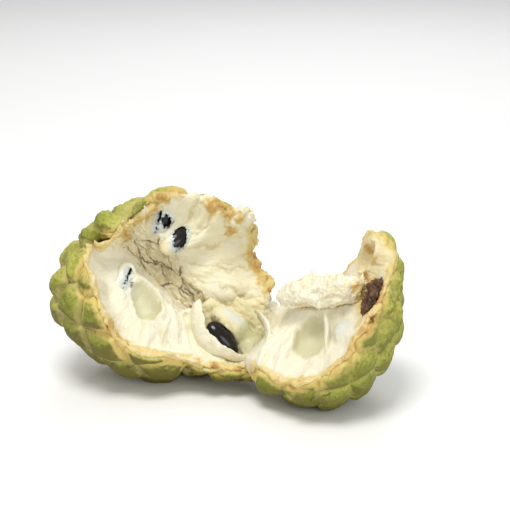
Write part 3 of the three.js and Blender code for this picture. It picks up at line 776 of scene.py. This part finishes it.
# Painted shade: the valleys between the far bank's cords are marked to be painted a darker tan.
mark(flesh, "cord_valley_shade", far_bank * ramp(cord, 0.35, 0.05))
mark(flesh, "stain", stain_at(flesh_points))
mark(flesh, "strand", strand * MM)
mark(flesh, "print", print_place * MM)
# Marked creamier in the middle and up the bowl's far bank: partly the ripe flesh's own cream, partly
# painted shade.
mark(flesh, "cream", centre + 0.3 * ramp(in_bowl[:, 0], 2, 14) * bowl_side * (1 - curds))

# The flesh is left out where the arils take its place, and where it lies hidden on the rind.
swallowed = np.zeros(len(flesh_points), bool)
for node in ARIL_SHIFT:
    middle, axes, half = aril_form(node)
    within = ((flesh_points - middle) @ axes.T) / (half - ARIL_OVERLAP)
    swallowed |= (within ** 2).sum(axis=1) < 1
hidden = (flesh_to_rind < 0.75) & (distance_to_points(flesh_points, flesh_front) > 5)
drop_points(flesh, swallowed | hidden)

MILK_WHITE, RIPE_CREAM_AND_SHADE = (0.87, 0.83, 0.665, 1), (0.83, 0.75, 0.46, 1)
STREAK_CREAM, VALLEY_SHADE_TAN = (0.76, 0.67, 0.38, 1), (0.66, 0.56, 0.28, 1)
CLEAR_FLESH, BLUE_SHADOW = (0.60, 0.575, 0.33, 1), (0.70, 0.73, 0.68, 1)
PRINT_BEIGE, PRINT_TAN = (0.90, 0.82, 0.57, 1), (0.68, 0.59, 0.36, 1)
PRINT_WRINKLE, PRINT_CRACK = (0.34, 0.25, 0.11, 1), (0.10, 0.055, 0.02, 1)


def scaled(tree, place, factors):
    return add_node(tree, "ShaderNodeVectorMath", [(0, place), (1, factors)],
                    operation="MULTIPLY").outputs["Vector"]


flesh_finish, tree, shader = new_material(
    "moist flesh", 0.42, Specular_IOR_Level=0.4, Subsurface_Weight=0.2, Subsurface_Scale=0.001)
shader.inputs["Subsurface Radius"].default_value = (1, 0.8, 0.45)
place = own_place(tree)
streak = add_node(tree, "ShaderNodeTexNoise", [
    ("Vector", add_node(tree, "ShaderNodeMapping", [
        ("Vector", read(tree, "strand", "Vector")), ("Scale", (1.0, 0.1, 0.3))]).outputs["Vector"]),
    ("Scale", 1100.0), ("Detail", 4.0), ("Roughness", 0.65)]).outputs["Fac"]
# Creamier where marked: a ripe tone, and in part painted shade on the middle and the far bank.
creamy_and_shaded = sway(tree, read(tree, "cream"), lumpy(tree, place, 7, 3.0), 0.9, 0.4)
pulp = mix(tree, ease(tree, creamy_and_shaded, 0.0, 1.0), MILK_WHITE, RIPE_CREAM_AND_SHADE)
pulp = mix(tree, ease(tree, streak, 0.48, 0.72, 0, 0.5), pulp, STREAK_CREAM)
# Painted shade: a darker tan in the valleys between the far bank's cords.
pulp = mix(tree, times(tree, read(tree, "cord_valley_shade"), 0.55), pulp, VALLEY_SHADE_TAN)
pulp = mix(tree, times(tree, read(tree, "clear"), 0.95), pulp, CLEAR_FLESH)
shadow = ease(tree, lumpy(tree, place, 1.6, 4.0, 0.7), 0.3, 0.65, 0.45, 1)
pulp = mix(tree, times(tree, read(tree, "blue"), shadow), pulp, BLUE_SHADOW)

# The print of the core: beige, wrinkled along its run and cracked into plates.
printed = read(tree, "print", "Vector")
wavy = add_node(tree, "ShaderNodeTexNoise", [("Vector", printed), ("Scale", 300.0), ("Detail", 3.0)])
wavy = scaled(tree, wavy.outputs["Color"], (0.003, 0.003, 0))
wavy = add_node(tree, "ShaderNodeVectorMath", [(0, printed), (1, wavy)],
                operation="ADD").outputs["Vector"]
plates = add_node(tree, "ShaderNodeTexVoronoi", [
    ("Vector", scaled(tree, wavy, (0.22, 1, 0.2))), ("Scale", 400.0)], feature="DISTANCE_TO_EDGE")
crack = times(tree, ease(tree, plates.outputs["Distance"], 0.07, 0.0), read(tree, "trough"))
along_print = add_node(tree, "ShaderNodeSeparateXYZ", [(0, printed)]).outputs["X"]
crack = times(tree, crack, ease(tree, along_print, 0.002, 0.010, 0.15, 1))
crack = times(tree, crack, ease(tree, lumpy(tree, place, 6, 2.0), 0.36, 0.52, 0.3, 1))
beige = mix(tree, ease(tree, lumpy(tree, place, 1.5, 4.0, 0.65), 0.3, 0.75), PRINT_BEIGE, PRINT_TAN)
wrinkles = add_node(tree, "ShaderNodeTexNoise", [
    ("Vector", scaled(tree, wavy, (0.22, 1, 0.3))),
    ("Scale", 700.0), ("Detail", 4.0), ("Roughness", 0.6)]).outputs["Fac"]
beige = mix(tree, ease(tree, wrinkles, 0.48, 0.34, 0, 0.45), beige, PRINT_WRINKLE)
pulp = mix(tree, read(tree, "trough"), pulp, beige)
pulp = mix(tree, times(tree, crack, 0.85), pulp, PRINT_CRACK)
tinted = use_group(tree, torn_tint, [
    ("Color", pulp), ("Edge", read(tree, "edge")), ("Stain", read(tree, "stain")), ("Place", place)])
tree.links.new(tinted["Color"], shader.inputs["Base Color"])
tree.links.new(ease(tree, read(tree, "clear"), 0, 1, 0.5, 0.25), shader.inputs["Roughness"])
smoother = calc(tree, "SUBTRACT", 1.0, times(tree, read(tree, "clear"), 0.8))
height = times(tree, grain_height(tree, place, 1.2), smoother)
height = calc(tree, "ADD", height, times(tree, streak, 2.0))
height = calc(tree, "SUBTRACT", height, times(tree, crack, 3.0))
height = calc(tree, "ADD", height, times(tree, times(tree, wrinkles, read(tree, "trough")), 4.0))
raise_relief(tree, shader, height, 0.6, 0.4)
flesh.data.materials.append(flesh_finish)
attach(flesh, "root")
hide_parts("flesh")

# ---- Seeds --------------------------------------------------------------------------------------
# Hard glossy blackish-brown beans, about 16 mm long. Three lie in their arils; the fourth lies bare
# in the middle, between two flaps of flesh.
SEED_VOXEL, SEED_ROUNDS = 0.3, 25
SEED_NODES = ("seed_far_upper", "seed_far_lower", "seed_near", "seed_bare")
SEED_BLACK, SEED_WORN = (0.007, 0.006, 0.006, 1), (0.022, 0.013, 0.009, 1)
seed_finish, tree, shader = new_material(
    "glossy seed coat", 0.2, Specular_IOR_Level=0.35, Coat_Weight=0.1)
place = own_place(tree)
seed_coat = mix(tree, ease(tree, lumpy(tree, place, 3.0, 4.0), 0.4, 0.75), SEED_BLACK, SEED_WORN)
tree.links.new(seed_coat, shader.inputs["Base Color"])
dulled = ease(tree, lumpy(tree, place, 1.2, 3.0), 0.3, 0.8, 0.12, 0.34)
tree.links.new(dulled, shader.inputs["Roughness"])
raise_relief(tree, shader, grain_height(tree, place, 1.6), 0.25, 0.12)

for node in SEED_NODES:
    seed = fine_skin(node + "_coat", node, SEED_VOXEL)
    set_points(seed, relax(points_of(seed), edges_of(seed), SEED_ROUNDS))
    seed.data.materials.append(seed_finish)
    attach(seed, "root")
    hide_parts(node)

# ---- Arils --------------------------------------------------------------------------------------
# The thin bluish-white skins over three seeds. Each grows out of the flesh, swells a little from it
# and is torn open in front in a ragged hole or slit.
ARIL_HOLES = {  # where a hole's middle is in view from the front, its half sizes and its turn
    "seed_far_upper": [((-23.1, 58.3), (1.6, 2.5), 14), ((-25.5, 61.2), (0.5, 3.0), -16)],
    "seed_far_lower": [((-17.9, 52.0), (2.3, 4.0), -6)],
    "seed_near": [((-37.0, 42.2), (0.3, 1.5), -25), ((-36.3, 43.4), (0.8, 0.25), 20)],
}
ARIL_SEGMENTS, ARIL_RINGS = 160, 120
ARIL_UNEVEN, HALO_WIDTH, NO_HOLE = 0.5, 3.6, 9.0
ARIL_WHITE, ARIL_CREAM_AND_SHADE = (0.93, 0.89, 0.72, 1), (0.84, 0.77, 0.52, 1)
ARIL_BLUE, ARIL_BRINK = (0.62, 0.66, 0.62, 1), (0.22, 0.25, 0.26, 1)
aril_finish, tree, shader = new_material(
    "aril skin", 0.3, Specular_IOR_Level=0.55, Subsurface_Weight=0.35, Subsurface_Scale=0.001)
place = own_place(tree)
near_hole = sway(tree, read(tree, "hole"), lumpy(tree, place, 1.4, 3.0), 0.5)
# The arils on the far bank take its creamier colour, which is in part painted shade.
aril_colour = mix(tree, read(tree, "cream"), ARIL_WHITE, ARIL_CREAM_AND_SHADE)
aril_colour = mix(tree, ease(tree, near_hole, 0.1, 0.75), aril_colour, ARIL_BLUE)
aril_colour = mix(tree, ease(tree, near_hole, 0.85, 1.05), aril_colour, ARIL_BRINK)
tree.links.new(aril_colour, shader.inputs["Base Color"])
raise_relief(tree, shader, grain_height(tree, place, 0.9), 0.4, 0.15)

view = np.array(CAMERA_TARGET) - np.array(CAMERA_EYE)
for node, holes in ARIL_HOLES.items():
    middle, axes, half = aril_form(node)
    skin = bmesh.new()
    bmesh.ops.create_uvsphere(skin, u_segments=ARIL_SEGMENTS, v_segments=ARIL_RINGS, radius=1)
    aril = new_piece(node + "_aril", skin)
    ball = np.array([v.co[:] for v in aril.data.vertices])[:, [2, 0, 1]]
    points = (ball * half) @ axes + middle
    rough = grainy(points, 1.3, 31, 4)
    points += ((ball / half) @ axes) * (ARIL_UNEVEN * grainy(points, 4, 32))[:, None]
    front = (points - middle) @ view < 0
    to_hole = np.full(len(points), NO_HOLE)
    for (x, z), size, turn in holes:
        turn = math.radians(turn)
        right, up = points[:, 0] - x, points[:, 2] - z
        along = (right * math.cos(turn) + up * math.sin(turn)) / size[0]
        aside = (up * math.cos(turn) - right * math.sin(turn)) / size[1]
        raggedness = min(0.85, 0.35 + 0.35 * size[0])
        to_hole = np.minimum(to_hole, (np.hypot(along, aside) - 1) * size[0] + raggedness * rough)
    to_hole[~front] = NO_HOLE
    set_points(aril, points)
    mark(aril, "hole", ramp(to_hole, HALO_WIDTH, 0.0))
    # 1 on the far bank's arils, painted creamier partly as shade.
    mark(aril, "cream", np.full(len(points), float(node != "seed_near")))
    drop_points(aril, to_hole < 0)
    smooth_shading(aril.data)
    aril.data.materials.append(aril_finish)
    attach(aril, "root")

# ---- Torn lip -----------------------------------------------------------------------------------
# A thin fold of the same flesh, left standing before the bare seed when its segment was torn open.
# It grows out of the flesh along its foot and is loose along its torn brink.
LIP_FOOT = [(-12.5, 0, 30), (-13, -1.5, 25.5), (-11.6, -5, 19.8), (-8.2, -9, 16), (-2, -10.6, 13.6),
            (4.5, -10.4, 12), (9.5, -10.5, 12.5)]
LIP_BRINK = [(-9.5, 1, 33), (-8, -4.5, 28.5), (-6.8, -9.3, 25), (-3.2, -12.2, 21.2), (1.2, -13.4, 18.5),
             (5.6, -12, 15.6), (10.5, -10.5, 14.6)]
LIP_BELLY, LIP_UNEVEN, LIP_RAGGED, LIP_THICKNESS, LIP_VOXEL = 1.2, 0.35, 0.1, 1.0, 0.3
LIP_SEGMENTS, LIP_CLEARNESS = (120, 30), 0.1
sheet = bmesh.new()
bmesh.ops.create_grid(sheet, x_segments=LIP_SEGMENTS[0], y_segments=LIP_SEGMENTS[1], size=0.5)
lip = new_piece("bare_seed_lip", sheet)
across = np.array([v.co[:] for v in lip.data.vertices]) + 0.5
along, up = across[:, 0], across[:, 1]
foot, brink = curve(LIP_FOOT, along), curve(LIP_BRINK, along)
ragged = 1 + LIP_RAGGED * grainy(brink, 2.2, 61, 3) * up
lip_points = foot + (brink - foot) * (up * ragged)[:, None]
set_points(lip, lip_points)
bulge = LIP_BELLY * np.sin(math.pi * up) + LIP_UNEVEN * grainy(lip_points, 3, 62)
lip_points += normals_of(lip) * bulge[:, None]
set_points(lip, lip_points)
thick = lip.modifiers.new("thickness", "SOLIDIFY")
thick.thickness = LIP_THICKNESS * MM
thick.offset = 0
even_faces(lip, LIP_VOXEL)
keep_modifiers(lip)
lip_points = relax(points_of(lip), edges_of(lip), FACET_ROUNDS)
set_points(lip, lip_points)
mark(lip, "strand", strands_at(lip_points) * MM)
mark(lip, "clear", np.full(len(lip_points), LIP_CLEARNESS))
lip.data.materials.append(flesh_finish)
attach(lip, "root")

# ---- Core ---------------------------------------------------------------------------------------
# The crumbly white rod that the segments grew on, of dry pith. It stayed on the wedge when the
# fruit was torn, and breaks into curds and short fibres.
CORE_VOXEL, CORE_ROUNDS = 0.3, 8
CURD_RELIEF, CRUMB_RELIEF, TUFT_HEIGHT = 1.2, 0.3, 3.4
UNDERSIDE_STAIN = 0.35
PITH_WHITE, PITH_CREAM = (0.93, 0.89, 0.72, 1), (0.82, 0.70, 0.42, 1)
PITH_SHADED = (0.60, 0.45, 0.22, 1)
core = fine_skin("crumbly_core", "core", CORE_VOXEL)
core_points = relax(points_of(core), edges_of(core), CORE_ROUNDS)
set_points(core, core_points)
crumbs = CURD_RELIEF * grainy(core_points * (0.35, 1, 1), 4.5, 41, 5)
crumbs += CRUMB_RELIEF * grainy(core_points, 1.3, 42, 3)
core_points += normals_of(core) * crumbs[:, None]
tufts = np.maximum(grainy(core_points * (1, 0.4, 0.15), 3.2, 43, 4), -0.15)
core_points[:, 2] += TUFT_HEIGHT * tufts * ramp(normals_of(core)[:, 2], 0.1, 0.8)
set_points(core, core_points)
underside = UNDERSIDE_STAIN * ramp(normals_of(core)[:, 2], -0.3, -0.9)
mark(core, "stain", np.maximum(stain_at(core_points, 3), underside))
mark(core, "low", ramp(crumbs, -0.1, -0.9))
core_finish, tree, shader = new_material(
    "crumbly pith", 0.75, Subsurface_Weight=0.2, Subsurface_Scale=0.001)
place = own_place(tree)
pith = mix(tree, ease(tree, lumpy(tree, place, 2.5, 4.0, 0.6), 0.4, 0.8), PITH_WHITE, PITH_CREAM)
pith = mix(tree, times(tree, read(tree, "low"), 0.3), pith, PITH_SHADED)
tinted = use_group(tree, torn_tint, [("Color", pith), ("Stain", read(tree, "stain")), ("Place", place)])
tree.links.new(tinted["Color"], shader.inputs["Base Color"])
raise_relief(tree, shader, grain_height(tree, place, 0.8), 0.5, 0.3)
core.data.materials.append(core_finish)
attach(core, "root")
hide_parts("core")

# ---- Stalk scar ---------------------------------------------------------------------------------
# The base of the stalk, of dark wood. It was torn out of the rind beside the core, and is rough with
# short fibres.
SCAR_VOXEL, SCAR_ROUNDS, SCAR_SWELL = 0.3, 8, 1.12
FIBRE_RELIEF, SPLINTER_RELIEF = 1.5, 0.5
WOOD_DARK, WOOD_BROWN = (0.085, 0.038, 0.018, 1), (0.25, 0.13, 0.06, 1)
WOOD_HOLLOW_SHADE = (0.035, 0.018, 0.01, 1)
scar = fine_skin("stalk_fibres", "stalk_scar", SCAR_VOXEL)
scar_points = relax(points_of(scar), edges_of(scar), SCAR_ROUNDS)
scar_middle = scar_points.mean(axis=0)
scar_points = scar_middle + SCAR_SWELL * (scar_points - scar_middle)
set_points(scar, scar_points)
fibres = FIBRE_RELIEF * grainy(scar_points * (1, 1, 0.3), 1.9, 51, 4)
fibres += SPLINTER_RELIEF * grainy(scar_points, 0.9, 52, 3)
scar_points += normals_of(scar) * fibres[:, None]
set_points(scar, scar_points)
# Painted shade: the low places between the fibres are marked to be painted near black.
mark(scar, "low", ramp(fibres, 0.3, -0.7))
scar_finish, tree, shader = new_material("woody stalk", 0.8)
place = own_place(tree)
wood = mix(tree, ease(tree, lumpy(tree, place, 1.6, 4.0, 0.65), 0.35, 0.7), WOOD_DARK, WOOD_BROWN)
# Painted shade: near black in the low places between the fibres.
wood = mix(tree, read(tree, "low"), wood, WOOD_HOLLOW_SHADE)
tree.links.new(wood, shader.inputs["Base Color"])
raise_relief(tree, shader, grain_height(tree, place, 0.7), 0.9, 0.35)
scar.data.materials.append(scar_finish)
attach(scar, "root")
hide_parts("stalk_scar")
